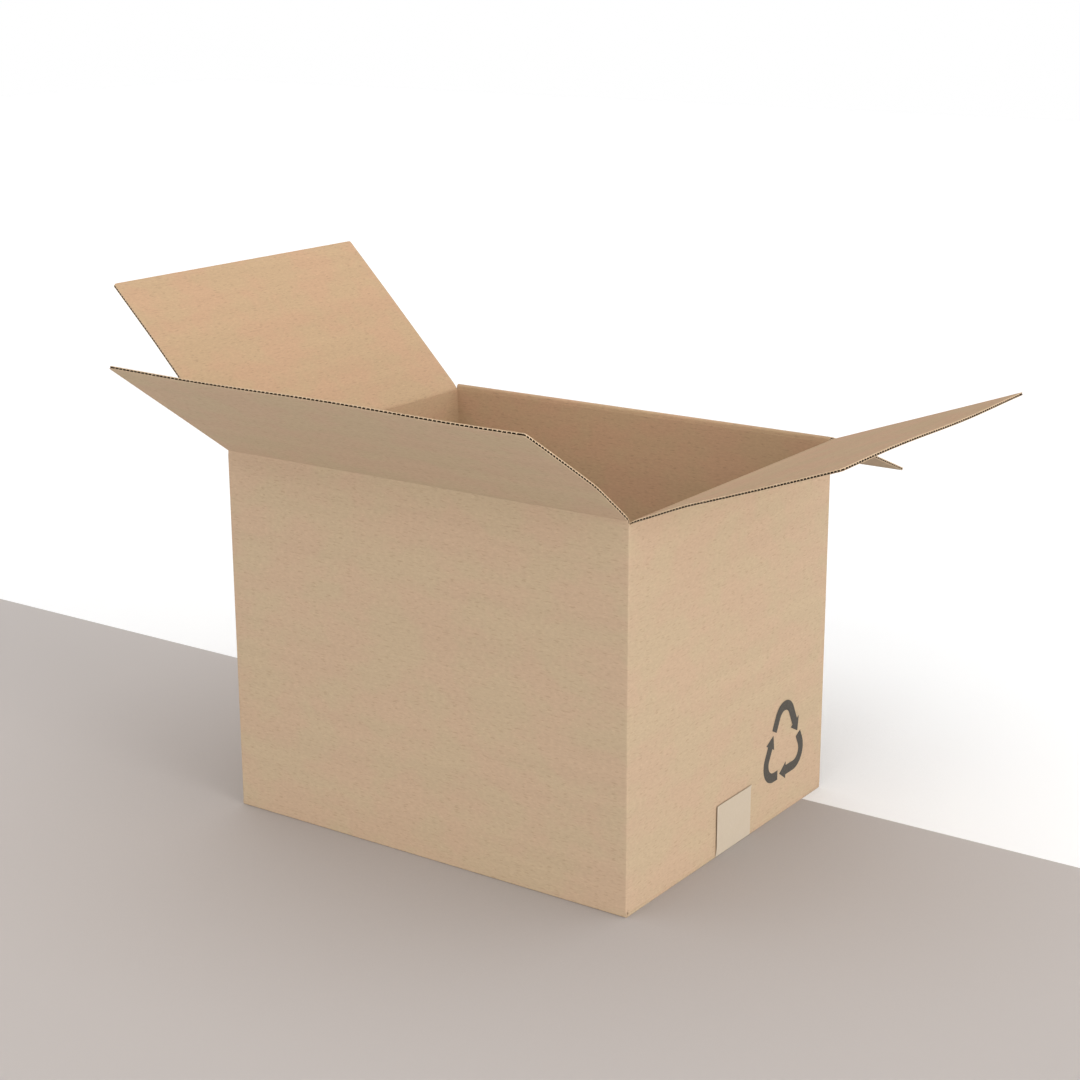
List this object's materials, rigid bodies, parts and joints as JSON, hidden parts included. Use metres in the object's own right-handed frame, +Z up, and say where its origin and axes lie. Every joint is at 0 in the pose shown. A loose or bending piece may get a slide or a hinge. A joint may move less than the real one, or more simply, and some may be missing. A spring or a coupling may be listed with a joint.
{
  "type": "corrugated cardboard carton",
  "caption": "Open shipping carton of corrugated board with hinged top flaps, a taped bottom and a printed recycling sign.",
  "frame": {"origin": "centre of the carton's footprint, on the surface it stands on, under the sealing tape", "axes": "+Z up, X along the long sides with the short side that carries the recycling sign facing +X, -Y towards the long side in front"},
  "size_m": [0.6121, 0.5245, 0.3929],
  "materials": {
    "board": "matt kraft liner with fine streaks and flecks",
    "tape": "smooth pale beige sealing tape, slightly satin"
  },
  "bodies": {
    "carton": {"carton_body": "board", "bottom_tape": "tape"},
    "front_lid": {"front_flap": "board"},
    "back_lid": {"back_flap": "board"},
    "left_lid": {"left_flap": "board"},
    "right_lid": {"right_flap": "board"}
  },
  "joints": [
    {"name": "front_flap_crease", "type": "hinge", "parent": "carton", "child": "front_lid", "pos_m": [0, -0.14, 0.28], "axis": [1, 0, 0], "range_deg": [-144.9, 120.1]},
    {"name": "back_flap_crease", "type": "hinge", "parent": "carton", "child": "back_lid", "pos_m": [0, 0.14, 0.28], "axis": [-1, 0, 0], "range_deg": [-201.1, 63.9]},
    {"name": "left_flap_crease", "type": "hinge", "parent": "carton", "child": "left_lid", "pos_m": [-0.175, 0, 0.2777], "axis": [0, -1, 0], "range_deg": [-134.5, 130.5]},
    {"name": "right_flap_crease", "type": "hinge", "parent": "carton", "child": "right_lid", "pos_m": [0.175, 0, 0.2777], "axis": [0, 1, 0], "range_deg": [-160.4, 104.6]}
  ]
}
